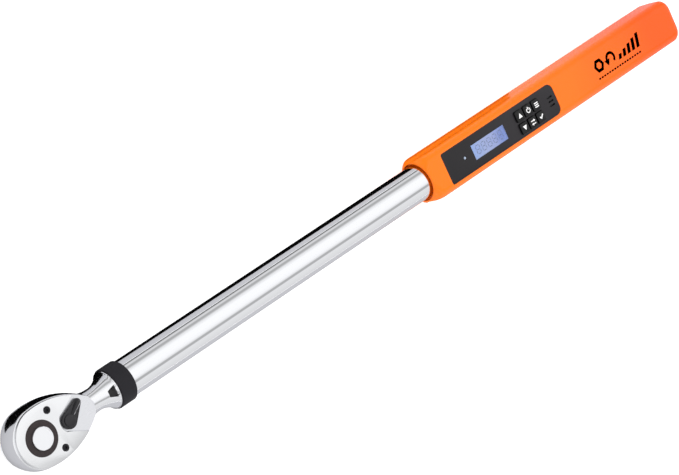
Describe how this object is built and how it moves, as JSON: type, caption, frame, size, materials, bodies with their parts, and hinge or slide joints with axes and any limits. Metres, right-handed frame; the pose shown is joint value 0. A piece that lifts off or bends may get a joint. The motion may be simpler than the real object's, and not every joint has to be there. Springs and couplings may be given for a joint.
{
  "type": "digital torque wrench",
  "caption": "Long digital torque wrench: pear-shaped reversible ratchet head with a male square drive, steel tube and a boxy handle with display and keypad.",
  "frame": {"origin": "where the male square leaves its round shoulder, on the drive's turning axis", "axes": "+X along the tool from the drive to the end of the handle, +Z out of the ratchet face that carries the reversing lever, -Z the way the square drive points, +Y to complete a right-handed frame"},
  "size_m": [0.6837, 0.0442, 0.0466],
  "materials": {
    "head_chrome": "polished chrome plate on forged steel",
    "plate_chrome": "polished chrome plate",
    "tube_chrome": "polished chrome plate on drawn steel tube",
    "black_steel": "black oxide",
    "gear_steel": "black phosphate",
    "bright_steel": "ground",
    "button_chrome": "polished",
    "lever_black": "satin black",
    "ring_rubber": "matte",
    "orange_plastic": "glossy moulded",
    "fascia_plastic": "satin",
    "window_glass": "clear",
    "lcd_blue": "backlit",
    "board_green": "solder mask",
    "key_black": "glossy",
    "mat_rubber": "matte",
    "led_white": "diffusing",
    "tray_black": "matte",
    "cell_label": "printed sleeve",
    "gauge_foil": "foil on film",
    "cable_red": "insulated"
  },
  "bodies": {
    "wrench": {"ratchet_head": "head_chrome", "cover_plate": "plate_chrome", "cover_screws": "black_steel", "collar_ring": "ring_rubber", "tube": "tube_chrome", "shank_pins": "bright_steel", "strain_gauges": "gauge_foil", "gauge_cable": "cable_red", "handle_housing": "orange_plastic", "back_cover": "orange_plastic", "back_cover_screws": "black_steel", "tube_screws": "black_steel", "fascia": "fascia_plastic", "lcd_window": "window_glass", "lcd_module": "lcd_blue", "circuit_board": "board_green", "board_screws": "bright_steel", "key_mat": "mat_rubber", "status_led": "led_white", "buzzer": "tray_black", "battery_tray": "tray_black", "batteries": "cell_label", "battery_springs": "bright_steel", "battery_contacts": "bright_steel", "battery_leads": "cable_red"},
    "drive": {"drive_gear": "gear_steel", "button_spring": "bright_steel"},
    "button": {"release_button": "button_chrome"},
    "ball": {"detent_ball": "bright_steel"},
    "lever": {"reversing_lever": "lever_black", "lever_clip": "bright_steel", "pawl_plunger": "bright_steel", "plunger_spring": "bright_steel"},
    "pawl": {"pawl": "gear_steel"},
    "up_key": {"key_up": "key_black"},
    "down_key": {"key_down": "key_black"},
    "power_key": {"key_power": "key_black"},
    "unit_key": {"key_unit": "key_black"},
    "menu_key": {"key_menu": "key_black"},
    "enter_key": {"key_enter": "key_black"},
    "door": {"battery_door": "orange_plastic"}
  },
  "joints": [
    {"name": "drive_spin", "type": "hinge", "parent": "wrench", "child": "drive", "pos_m": [0, 0, 0], "axis": [0, 0, 1], "continuous": true},
    {"name": "button_press", "type": "slide", "parent": "drive", "child": "button", "axis": [0, 0, -1], "range_m": [0, 0.0028], "stiffness_N_per_m": 900, "springref_m": -0.002, "deforming": ["button_spring"]},
    {"name": "ball_retract", "type": "slide", "parent": "drive", "child": "ball", "axis": [-1, 0, 0], "range_m": [0, 0.00093]},
    {"name": "lever_turn", "type": "hinge", "parent": "wrench", "child": "lever", "pos_m": [0.0231, 0, 0.0216], "axis": [0, 0, 1], "range_deg": [-69.2, 0]},
    {"name": "pawl_rock", "type": "hinge", "parent": "wrench", "child": "pawl", "pos_m": [0.017, 0, 0.0117], "axis": [0, 0, 1], "range_deg": [0, 2.4]},
    {"name": "up_press", "type": "slide", "parent": "wrench", "child": "up_key", "axis": [0, 0, -1], "range_m": [0, 0.0009], "stiffness_N_per_m": 800, "springref_m": -0.001},
    {"name": "down_press", "type": "slide", "parent": "wrench", "child": "down_key", "axis": [0, 0, -1], "range_m": [0, 0.0009], "stiffness_N_per_m": 800, "springref_m": -0.001},
    {"name": "power_press", "type": "slide", "parent": "wrench", "child": "power_key", "axis": [0, 0, -1], "range_m": [0, 0.0009], "stiffness_N_per_m": 800, "springref_m": -0.001},
    {"name": "unit_press", "type": "slide", "parent": "wrench", "child": "unit_key", "axis": [0, 0, -1], "range_m": [0, 0.0009], "stiffness_N_per_m": 800, "springref_m": -0.001},
    {"name": "menu_press", "type": "slide", "parent": "wrench", "child": "menu_key", "axis": [0, 0, -1], "range_m": [0, 0.0009], "stiffness_N_per_m": 800, "springref_m": -0.001},
    {"name": "enter_press", "type": "slide", "parent": "wrench", "child": "enter_key", "axis": [0, 0, -1], "range_m": [0, 0.0009], "stiffness_N_per_m": 800, "springref_m": -0.001},
    {"name": "door_open", "type": "hinge", "parent": "wrench", "child": "door", "pos_m": [0.65085, 0, -0.0039], "axis": [0, -1, 0], "range_deg": [0, 75]}
  ],
  "couplings": [
    {"joint": "ball_retract", "follows": "button_press", "ratio": 0.33},
    {"joint": "pawl_rock", "follows": "lever_turn", "ratio": -0.03468}
  ]
}
